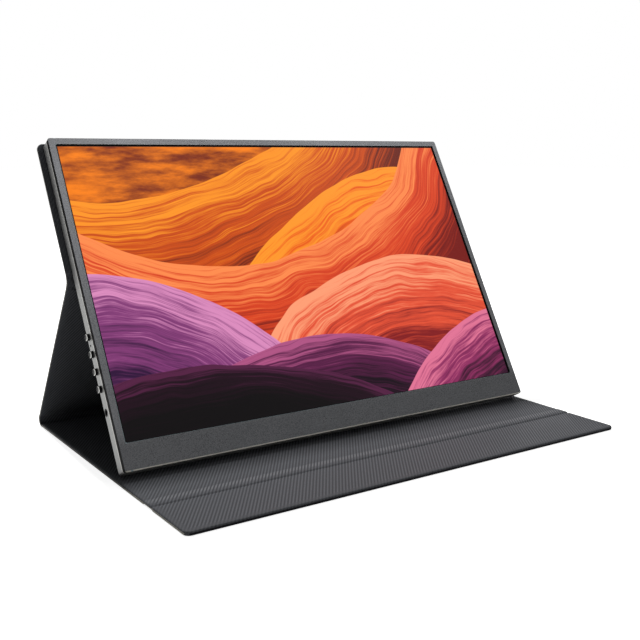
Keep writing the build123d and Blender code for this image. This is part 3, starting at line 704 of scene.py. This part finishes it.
def frame_metal():
    """Dark blasted metal, its walls painted black as shade, a painted highlight on the foot's chamfer, a painted
    reflection on the window's edge and painted shade on the chin.
    """
    material, tree, shader, place, speckle = blasted_metal("dark_blasted_metal", frame_tones, 1400.0, 0.33)
    axes = split(tree, on_face(tree, place))
    out = facing(tree, screen_turn @ Vector((0, 0, 1)))
    # Painted shade that darkens the face towards the chin.
    chin_painted_shade_factor = span(tree, axes["Y"], chin_start, chin_stop, chin_painted_shade, 1.0)
    face = mix_colour(tree, 1.0, speckle, chin_painted_shade_factor, blend="MULTIPLY")
    foot = calc(tree, "LESS_THAN", axes["Y"], edge_zone)
    in_reach = calc(tree, "LESS_THAN", calc(tree, "ABSOLUTE", axes["X"]), window_half + edge_zone)
    left = calc(tree, "LESS_THAN", axes["X"], edge_zone - window_half)
    low = calc(tree, "COMPARE", axes["Y"], window_foot, edge_zone)
    # Painted reflection: the window's edge at the left and below.
    window_edge_reflection = times(tree, in_reach, calc(tree, "MULTIPLY_ADD", low, 0.4, left, clamp=True))
    slanted = span(tree, out, 0.3, 0.5)
    # Painted highlight on the foot's chamfer; the other walls get the black of painted shade.
    foot_chamfer_highlight = times(tree, foot, slanted)
    edge = mix_colour(tree, foot_chamfer_highlight, painted_shade_black, foot_chamfer_painted_highlight)
    edge = mix_colour(tree, times(tree, window_edge_reflection, slanted), edge, window_chamfer_painted_reflection)
    flat = times(tree, span(tree, out, 0.85, 0.95), calc(tree, "SUBTRACT", 1.0, foot_chamfer_highlight))
    colour = mix_colour(tree, flat, edge, face)
    feed(tree, shader, Base_Color=colour, Metallic=times(tree, flat, 0.75))
    return material


finishes = {"front_metal": frame_metal()}
print("made", finishes["front_metal"].name)

# %% [markdown]
# From the side the housing shows layers: a gap behind the frame painted black as shade, a pale line along
# the middle frame painted as its edge's highlight, and the silver shell. Their depth below the face tells
# them apart. Inside the walls the metal is painted black as shade, so that the holes look deep.

# %% The back shell
shell_tones = (0.20, 0.202, 0.198), (0.31, 0.312, 0.305)
# Painted highlight: the pale line along the middle frame's edge.
middle_frame_painted_highlight = (0.6, 0.59, 0.56)
gap_stop = 3.0 * mm
line_stop = 3.9 * mm
layer_blur = 0.3 * mm
end_wall = 1.0 * mm
back_wall = 1.9 * mm


def shell_metal():
    """Silver metal with painted shade, black inside its openings and on the middle frame, and a painted highlight
    line behind it.
    """
    material, tree, shader, place, speckle = blasted_metal("silver_blasted_metal", shell_tones, 1300.0, 0.42)
    axes = split(tree, on_face(tree, place))
    depth = times(tree, axes["Z"], -1.0)
    # Painted highlight: the pale line just deeper than the gap.
    colour = mix_colour(tree, span(tree, depth, line_stop, line_stop + layer_blur), middle_frame_painted_highlight, speckle)
    from_centre = calc(tree, "ABSOLUTE", calc(tree, "SUBTRACT", axes["Y"], half_height))
    within_sides = calc(tree, "LESS_THAN", calc(tree, "ABSOLUTE", axes["X"]), inner_wall)
    within_ends = calc(tree, "LESS_THAN", from_centre, half_height - end_wall)
    above_back = calc(tree, "LESS_THAN", depth, monitor_thickness - back_wall)
    # Painted shade: black inside the walls, and in the gap behind the frame.
    inside = times(tree, times(tree, within_sides, within_ends), above_back)
    outside = calc(tree, "SUBTRACT", 1.0, inside)
    bright = times(tree, outside, span(tree, depth, gap_stop, gap_stop + layer_blur))
    colour = mix_colour(tree, bright, painted_shade_black, colour)
    feed(tree, shader, Base_Color=colour, Metallic=times(tree, bright, 0.7))
    return material


finishes["silver_metal"] = shell_metal()
print("made", finishes["silver_metal"].name)

# %% [markdown]
# The keys are turned on a lathe. Their bevel carries a painted highlight as a ring, and the end and the
# barrel are painted dark as shade. How far a surface faces outwards tells all three apart.

# %% The keys
# Painted shade: the dark tones of the keys' ends.
key_end_painted_shade_tones = (0.03, 0.03, 0.03), (0.06, 0.06, 0.06)
# Painted highlight: the bright ring on the bevel.
key_bevel_painted_highlight = (0.7, 0.7, 0.67)
# Painted shade: the dark barrel.
key_barrel_painted_shade = (0.012, 0.012, 0.013)


def key_metal():
    """Turned metal: a painted highlight on the bevel, round an end and a side painted dark as shade."""
    material, tree, shader, _, speckle = blasted_metal("key_turned_metal", key_end_painted_shade_tones, 2600.0, 0.34)
    out = facing(tree, (-1, 0, 0))
    at_end = span(tree, out, 0.9, 0.98)
    turned = span(tree, out, 0.1, 0.3)
    # Painted highlight on the bevel; painted shade on the end and, below, on the barrel.
    colour = mix_colour(tree, at_end, key_bevel_painted_highlight, speckle)
    colour = mix_colour(tree, turned, key_barrel_painted_shade, colour)
    bevel = times(tree, turned, calc(tree, "SUBTRACT", 1.0, at_end))
    feed(tree, shader, Base_Color=colour, Metallic=times(tree, bevel, 0.8))
    return material


finishes["key_metal"] = key_metal()
print("metals", [material.name for material in finishes.values()])

# %% [markdown]
# ## Leather
# The cover's plastic-coated leather is charcoal. The crests of the ribs are paler and glossier than the
# valleys between them, partly from rubbing and partly as a painted highlight, the valleys carry painted
# shade, and a pebbled grain covers both. The ridge behind the crease gets a painted highlight. On the hem
# the ribs nearly vanish, the lower half of the edge is pale at the sides and painted black as shade at the
# ends. The finish reads the place on the flat sheet, so the tones stay on the ribs round every fold.

# %% Ribbed leather
# Paler crests: partly rubbing, partly painted highlight.
crest_wear_and_highlight_colour = (0.102, 0.107, 0.116)
# Painted shade in the valleys between the ribs.
valley_painted_shade_colour = (0.050, 0.052, 0.057)
# Pale on the lower half of the side edges.
pale_side_edge_colour = (0.34, 0.33, 0.29)
# Painted shade: black on the lower half of the edge at both ends.
end_edge_painted_shade_colour = (0.008, 0.008, 0.010)
# Painted highlight on the ridge behind the crease, and its strength.
ridge_painted_highlight_colour = (0.165, 0.170, 0.180)
ridge_highlight_strength = 0.85
ridge_line = crease.y + 2.0 * mm
ridge_core = 0.4 * mm
ridge_zone = 4.6 * mm
side_zone = 0.5 * mm
end_zone = 0.7 * mm
mid_edge = 1.8 * mm


def ribbed_leather():
    """Charcoal coated leather, its rib crests paler from rubbing and painted highlight, its valleys in painted
    shade.
    """
    material, tree, shader, _ = start_finish("ribbed_leather", Specular_IOR_Level=faint_sheen)
    flat = add_node(tree, "ShaderNodeAttribute", attribute_name="flat").outputs["Vector"]
    across = dot(tree, flat, (cos(rib_angle), -sin(rib_angle), 0))
    phase = times(tree, across, 2 * pi / rib_pitch)
    crest = calc(tree, "MULTIPLY_ADD", calc(tree, "COSINE", phase), 0.5, 0.5)
    grain = place_group(tree, grain_group, Place=flat, Waves=1100.0, Drift=0.5)
    pebble = add_node(tree, "ShaderNodeTexVoronoi", {"Vector": flat, "Scale": 1700.0}).outputs["Distance"]
    smudge = place_group(tree, smudge_group, Place=flat, Waves=22.0)["Mask"]
    axes = split(tree, flat)
    from_middle = calc(tree, "ABSOLUTE", axes["X"])
    from_side = calc(tree, "SUBTRACT", cover_half, from_middle)
    from_front = calc(tree, "SUBTRACT", axes["Y"], front_s)
    from_end = calc(tree, "MINIMUM", from_front, calc(tree, "SUBTRACT", stop_s, axes["Y"]))
    from_rim = calc(tree, "MINIMUM", from_side, from_end)
    ribbed = span(tree, from_rim, hem_width - 1.5 * mm, hem_width + 0.5 * mm, 0.25, 1.0)
    crest = calc(tree, "MULTIPLY_ADD", calc(tree, "SUBTRACT", crest, 0.5), ribbed, 0.5)
    # Painted highlight on the crests and painted shade in the valleys, with the grain's rubbing.
    crest_wear_and_highlight = times(tree, span(tree, crest, 0.15, 0.9), span(tree, grain["Tone"], 0, 1, 0.75, 1.0))
    colour = mix_colour(tree, crest_wear_and_highlight, valley_painted_shade_colour, crest_wear_and_highlight_colour)
    at_side = span(tree, from_middle, cover_half - side_zone, cover_half - side_zone + 0.2 * mm)
    low = span(tree, axes["Z"], mid_edge, mid_edge + 0.3 * mm, 1.0, 0.0)
    at_end = span(tree, from_end, end_zone - 0.4 * mm, end_zone, 1.0, 0.0)
    from_ridge = calc(tree, "ABSOLUTE", calc(tree, "SUBTRACT", axes["Y"], ridge_line))
    # Painted highlight along the ridge behind the crease.
    ridge_highlight = times(tree, span(tree, from_ridge, ridge_core, ridge_zone, ridge_highlight_strength, 0.0), crest_wear_and_highlight)
    on_top = calc(tree, "SUBTRACT", 1.0, low)
    colour = mix_colour(tree, times(tree, ridge_highlight, on_top), colour, ridge_painted_highlight_colour)
    # The lower half of the side edges is pale.
    colour = mix_colour(tree, times(tree, at_side, low), colour, pale_side_edge_colour)
    # Painted shade on the lower half of the end edges.
    colour = mix_colour(tree, times(tree, at_end, low), colour, end_edge_painted_shade_colour)
    rough = calc(tree, "MULTIPLY_ADD", crest_wear_and_highlight, -0.14, 0.64)
    rough = calc(tree, "MULTIPLY_ADD", smudge, -0.08, rough)
    height = calc(tree, "MULTIPLY_ADD", pebble, 0.6, grain["Height"])
    feed(tree, shader, Base_Color=colour, Roughness=rough, Height=height, depth=0.05 * mm)
    return material


leather = ribbed_leather()
for piece in leather_pieces:
    piece.data.materials.clear()
    piece.data.materials.append(leather)
finishes["cover_leather"] = leather
finishes["lining_leather"] = leather
print("leather on", len(leather_pieces), "pieces")

# %% [markdown]
# ## The picture on the screen
# The screen shows folded bands that glow from orange at the top to violet and near black at the bottom.
# One group draws one band over what lies behind it: its edge is a wide arc that wavers a little, its crest
# is bright, its body darkens away from the edge, and fine streaks follow the arc. The picture is this
# group placed several times, from the back band to the front one. Arcs bulge up or hang down.

# %% One band
def make_band_group():
    """Draws one band over a colour, from the place on the picture in picture heights."""
    group, given, result = start_group(
        "picture_band",
        [
            ("Place", "Vector", None), ("Behind", "Color", None), ("Centre", "Vector", None),
            ("Radius", "Float", 1.0), ("Side", "Float", 1.0), ("Waver", "Float", 0.1),
            ("Depth", "Float", 0.25), ("Streaks", "Float", 1.5), ("Across", "Float", 58.0),
            ("Crest", "Color", None), ("Body", "Color", None), ("Deep", "Color", None),
        ],
        [("Colour", "Color")],
    )
    away = add_node(
        group, "ShaderNodeVectorMath", {0: given["Place"], 1: given["Centre"]}, operation="SUBTRACT"
    ).outputs["Vector"]
    reach = add_node(group, "ShaderNodeVectorMath", {0: away}, operation="LENGTH").outputs["Value"]
    axes = split(group, away)
    turn = calc(group, "ARCTAN2", axes["X"], times(group, axes["Y"], given["Side"]))
    waver = calc(group, "SUBTRACT", noise(group, given["Place"], 1.7, detail=3.0, roughness=0.4), 0.5)
    edge = calc(group, "MULTIPLY_ADD", waver, given["Waver"], given["Radius"])
    below = times(group, calc(group, "SUBTRACT", edge, reach), given["Side"])
    inside = span(group, below, -0.0012, 0.0012)
    share = calc(group, "DIVIDE", below, given["Depth"], clamp=True)
    wander = noise(group, given["Place"], 3.0)
    flow = times(group, calc(group, "MULTIPLY_ADD", wander, 0.10, below), given["Across"])
    lines = add_node(group, "ShaderNodeCombineXYZ", {"X": times(group, turn, 1.6), "Y": flow}).outputs[0]
    fine = noise(group, lines, 1.6, detail=4.0, roughness=0.7)
    broad = noise(group, lines, 0.3)
    tone = calc(group, "MULTIPLY_ADD", calc(group, "SUBTRACT", fine, 0.5), given["Streaks"], share)
    tone = calc(group, "ADD", calc(group, "SUBTRACT", broad, 0.5), tone)
    colour = mix_colour(group, span(group, tone, 0.0, 0.4), given["Crest"], given["Body"])
    colour = mix_colour(group, span(group, tone, 0.3, 0.95), colour, given["Deep"])
    colour = mix_colour(group, span(group, below, 0.0, 0.006, 0.7, 0.0), colour, given["Crest"])
    group.links.new(mix_colour(group, inside, given["Behind"], colour), result["Colour"])
    return group


band_group = make_band_group()


def from_screen(red, green, blue):
    """A display's 0 to 255 colour as scene light, with full opacity."""
    light = [((value / 255 + 0.055) / 1.055) ** 2.4 for value in (red, green, blue)]
    return (*light, 1)


print("band inputs", len(band_group.interface.items_tree))

# %% [markdown]
# The glass is matte and black, and the picture glows from behind it, so it is drawn as emission. It is
# measured from its lower left corner in picture heights. Outside it the glass stays black.

# %% The whole picture and the glass
picture_height = 215.4 * mm
picture_width = 344.7 * mm
chin = 19.4 * mm
cell_depth = 1.1 * mm
black_glass = (0.002, 0.002, 0.002, 1)
haze_dark = (120, 36, 2)
haze_light = (255, 132, 10)
bands = [
    # centre x and y, radius, side, depth, crest, body, deep
    (0.15, 2.05, 1.25, -1, 0.50, (255, 150, 30), (206, 76, 6), (104, 26, 3)),
    (1.45, -0.30, 1.20, 1, 0.50, (255, 152, 36), (238, 92, 8), (130, 30, 4)),
    (0.55, 1.62, 1.08, -1, 0.42, (255, 140, 76), (220, 66, 28), (118, 20, 14)),
    (1.25, -0.45, 0.98, 1, 0.42, (255, 158, 116), (232, 82, 52), (130, 24, 28)),
    (-0.10, -0.45, 1.00, 1, 0.42, (220, 140, 190), (134, 60, 120), (46, 14, 56)),
    (0.75, -0.95, 1.20, 1, 0.24, (176, 84, 132), (92, 28, 72), (22, 4, 20)),
    (1.70, -0.50, 0.78, 1, 0.28, (226, 116, 150), (146, 46, 98), (46, 8, 36)),
    (0.25, -1.25, 1.46, 1, 0.14, (84, 30, 66), (32, 6, 24), (6, 0, 4)),
]


def lit_screen():
    """Matte glass over a glowing picture, black outside the picture's rectangle."""
    material, tree, shader, place = start_finish(
        "lit_screen", Base_Color=black_glass, Specular_IOR_Level=0.08, Emission_Strength=1.0
    )
    corner = screen_origin + screen_turn @ Vector((-picture_width / 2, chin, -cell_depth))
    spot = on_face(tree, place, corner, picture_height)
    axes = split(tree, spot)
    haze = noise(tree, stretch(tree, spot, (1.0, 3.5, 1.0)), 3.2, detail=6.0, roughness=0.62)
    haze = span(tree, haze, 0.36, 0.66)
    colour = mix_colour(tree, haze, from_screen(*haze_dark), from_screen(*haze_light))
    for x, y, radius, side, depth, crest, body, deep in bands:
        tones = {"Crest": from_screen(*crest), "Body": from_screen(*body), "Deep": from_screen(*deep)}
        form = {"Centre": (x, y, 0), "Radius": radius, "Side": side, "Depth": depth}
        colour = place_group(tree, band_group, Place=spot, Behind=colour, **form, **tones)["Colour"]
    half_wide = picture_width / picture_height / 2
    across = calc(tree, "COMPARE", axes["X"], half_wide, half_wide)
    upright = calc(tree, "COMPARE", axes["Y"], 0.5, 0.5)
    colour = mix_colour(tree, times(tree, across, upright), (0, 0, 0), colour)
    smudge = place_group(tree, smudge_group, Place=place, Waves=9.0)["Mask"]
    feed(tree, shader, Emission_Color=colour, Roughness=calc(tree, "MULTIPLY_ADD", smudge, 0.1, 0.3))
    return material


finishes["screen_glass"] = lit_screen()
print("bands on the screen", len(bands))

# %% [markdown]
# ## Rubber, boards, films and wires
# The pieces inside are seen only when the monitor is taken apart, but each is finished as what it is.
# Most are one grain with its own size, tones and gloss, so a small function serves rubber, fibre board,
# moulded plastic, nickel and film. The steel chassis is rolled, so its grain is drawn out into lines.

# %% Plain grained finishes
def grained(slot, name, dark, light, waves, rough, pull=(1.0, 1.0, 1.0), **constants):
    """A slot's finish of one grain between two tones. A pull along an axis draws it out into lines."""
    finishes[slot], tree, shader, place = start_finish(name, **constants)
    grain = place_group(tree, grain_group, Place=stretch(tree, place, pull), Waves=waves, Drift=0.5)
    smudge = place_group(tree, smudge_group, Place=place)["Mask"]
    colour = mix_colour(tree, grain["Tone"], dark, light)
    gloss = calc(tree, "MULTIPLY_ADD", grain["Tone"], 0.1, rough - 0.05)
    gloss = calc(tree, "MULTIPLY_ADD", smudge, smudge_gloss, gloss)
    feed(tree, shader, Base_Color=colour, Roughness=gloss, Height=grain["Height"], depth=grain_bump)


rolled = (0.06, 1.0, 1.0)
grained("seal_rubber", "soft_black_rubber", (0.006, 0.006, 0.006), (0.02, 0.02, 0.021), 900.0, 0.62)
grained("stiff_board", "grey_fibre_board", (0.2, 0.19, 0.17), (0.36, 0.34, 0.31), 420.0, 0.85)
grained("magnet_steel", "nickel_plate", (0.5, 0.48, 0.44), (0.66, 0.64, 0.6), 800.0, 0.24, Metallic=1.0)
grained("sheet_steel", "rolled_steel", (0.4, 0.4, 0.4), (0.6, 0.6, 0.59), 1500.0, 0.38, rolled, Metallic=1.0)
grained("screw_steel", "black_zinc", (0.03, 0.03, 0.032), (0.09, 0.09, 0.095), 2200.0, 0.35, Metallic=0.9)
grained(
    "chip_plastic", "moulded_black", (0.008, 0.008, 0.009), (0.02, 0.02, 0.021), 1800.0, 0.5,
    Specular_IOR_Level=0.05,
)
grained("white_film", "pearl_film", (0.78, 0.79, 0.8), (0.9, 0.9, 0.9), 600.0, 0.35)
grained("wire_rubber", "wire_jacket", (0.02, 0.02, 0.021), (0.05, 0.05, 0.052), 1600.0, 0.45)
grained(
    "clear_plastic", "frosted_clear", (0.86, 0.9, 0.92), (0.95, 0.97, 0.98), 500.0, 0.22,
    Transmission_Weight=0.85, IOR=1.49,
)
print("finishes so far", len(finishes))

# %% [markdown]
# The circuit boards carry rows of copper tracks under green lacquer. The flat cables show their parallel
# conductors, and the light strip shows the yellow coating of each lamp in its white row.

# %% Boards, cables and the light strip
def circuit_board():
    """Green lacquer over straight tracks, with small tinned pads."""
    material, tree, shader, place = start_finish("green_circuit_board")
    rows = {"Vector": place, "Scale": 260.0, "Mortar Size": 0.03}
    tracks = add_node(tree, "ShaderNodeTexBrick", rows).outputs["Fac"]
    pads = add_node(tree, "ShaderNodeTexVoronoi", {"Vector": place, "Scale": 420.0}).outputs["Distance"]
    pad = span(tree, pads, 0.16, 0.2, 1.0, 0.0)
    lacquer = mix_colour(tree, tracks, (0.012, 0.10, 0.045), (0.03, 0.2, 0.09))
    colour = mix_colour(tree, pad, lacquer, (0.6, 0.58, 0.5))
    rough = calc(tree, "MULTIPLY_ADD", pad, 0.1, 0.3)
    height = calc(tree, "MULTIPLY_ADD", pad, 0.6, tracks)
    feed(tree, shader, Base_Color=colour, Metallic=pad, Roughness=rough, Height=height, depth=0.03 * mm)
    return material


def striped_film(name, base, stripe, stripes, rough):
    """Film with parallel stripes across the screen's height."""
    material, tree, shader, place = start_finish(name)
    grain = place_group(tree, grain_group, Place=place, Waves=900.0)
    height = split(tree, place)["Z"]
    row = calc(tree, "FRACT", times(tree, height, stripes))
    line = span(tree, calc(tree, "PINGPONG", row, 0.5), 0.2, 0.3)
    colour = mix_colour(tree, line, base, stripe)
    rough = calc(tree, "MULTIPLY_ADD", grain["Tone"], 0.1, rough)
    feed(tree, shader, Base_Color=colour, Roughness=rough, Height=line, depth=grain_bump)
    return material


finishes["circuit_board"] = circuit_board()
finishes["cable_film"] = striped_film("flat_cable", (0.7, 0.71, 0.72), (0.35, 0.36, 0.38), 1000.0, 0.3)
finishes["led_plastic"] = striped_film("lamp_row", (0.85, 0.85, 0.82), (0.85, 0.7, 0.25), 180.0, 0.4)
print("finishes", len(finishes))

# %% [markdown]
# ## Handing out the finishes
# The record names a slot for each solid, and the solid gets that slot's finish. A slot with no finish
# would stop the script here.

# %% Dress the solids
slot_of = {part["node"]: part["material_slot"] for part in frame["record"]["subparts"]}
for node_name, solid in frame["nodes"].items():
    solid.data.materials.clear()
    solid.data.materials.append(finishes[slot_of[node_name]])
print("dressed", len(slot_of), "solids in", len(set(slot_of.values())), "finishes")

# %% [markdown]
# ## Floor, background and light
# The studio is white. The floor is a plain pale sheet that keeps the shadow. Its glow, which only the eye,
# a mirror or glass sees, grows with the distance until it meets the white background with no line.
# One light hangs above and behind, so the leaning screen throws a dark strip before its foot. Two soft
# ones stand high in front, where the frame's upper side mirrors them from left to right, and a weak low
# one brings out the bare chamfer at the foot.

# %% Floor and world
def seen_directly(tree):
    """1 for rays from the camera, a mirror or glass, else 0."""
    path = add_node(tree, "ShaderNodeLightPath").outputs
    seen = calc(tree, "MAXIMUM", path["Is Camera Ray"], path["Is Glossy Ray"])
    return calc(tree, "MAXIMUM", seen, path["Is Transmission Ray"])


def pale_floor(near_glow):
    """A pale floor that glows to the eye, so that only the shadow is grey, and all is white far off."""
    material = bpy.data.materials.new("pale_floor")
    material.use_nodes = True
    tree = material.node_tree
    tree.nodes.clear()
    place = add_node(tree, "ShaderNodeTexCoord").outputs["Object"]
    distance = add_node(tree, "ShaderNodeVectorMath", {0: place}, operation="LENGTH").outputs["Value"]
    glow = times(tree, seen_directly(tree), span(tree, distance, 0.3, 1.1, near_glow, 1.0))
    surface = add_node(tree, "ShaderNodeBsdfDiffuse", {"Color": (0.62, 0.62, 0.62, 1)})
    light = add_node(tree, "ShaderNodeEmission", {"Color": (1, 1, 1, 1), "Strength": glow})
    both = add_node(tree, "ShaderNodeAddShader", {0: surface.outputs[0], 1: light.outputs[0]})
    add_node(tree, "ShaderNodeOutputMaterial", {"Surface": both.outputs[0]})
    return material


def white_world(level):
    """A dim even surround that looks white where it is seen directly."""
    world = bpy.data.worlds.new("studio")
    world.use_nodes = True
    tree = world.node_tree
    seen = seen_directly(tree)
    strength = calc(tree, "MULTIPLY_ADD", seen, 1.0 - level, level)
    background = tree.nodes["Background"]
    background.inputs["Color"].default_value = (1, 1, 1, 1)
    tree.links.new(strength, background.inputs["Strength"])
    return world


bpy.ops.mesh.primitive_plane_add(size=14, location=(0, 0, -0.1 * mm))
floor = bpy.context.object
floor.name = "floor"
floor.data.materials.append(pale_floor(near_glow=0.88))
bpy.context.scene.world = white_world(level=0.03)
print("floor at", floor.location.z)

# %% Lights
def add_panel(name, place, target, size, watts):
    """A square white light panel that faces a target."""
    place = Vector(place)
    turn = (Vector(target) - place).to_track_quat("-Z", "Y").to_euler()
    bpy.ops.object.light_add(type="AREA", location=place, rotation=turn)
    panel_light = bpy.context.object
    panel_light.name = name
    panel_light.data.size = size
    panel_light.data.energy = watts


add_panel("top_back", (-0.05, 0.881, 1.51), (0, 0, 0), 0.14, 34.5)
add_panel("front_left", (0.58, -0.8, 1.74), (0, 0, 0.15), 0.45, 3.2)
add_panel("front_right", (1.2, -0.66, 1.54), (0, 0, 0.15), 0.45, 2.6)
add_panel("low_front", (-0.2, -1.35, 0.3), (0, -0.03, 0.01), 0.4, 1.5)

# %% [markdown]
# ## The view
# The colours are shown without a film look.

# %% Finish
bpy.context.scene.view_settings.view_transform = "Standard"
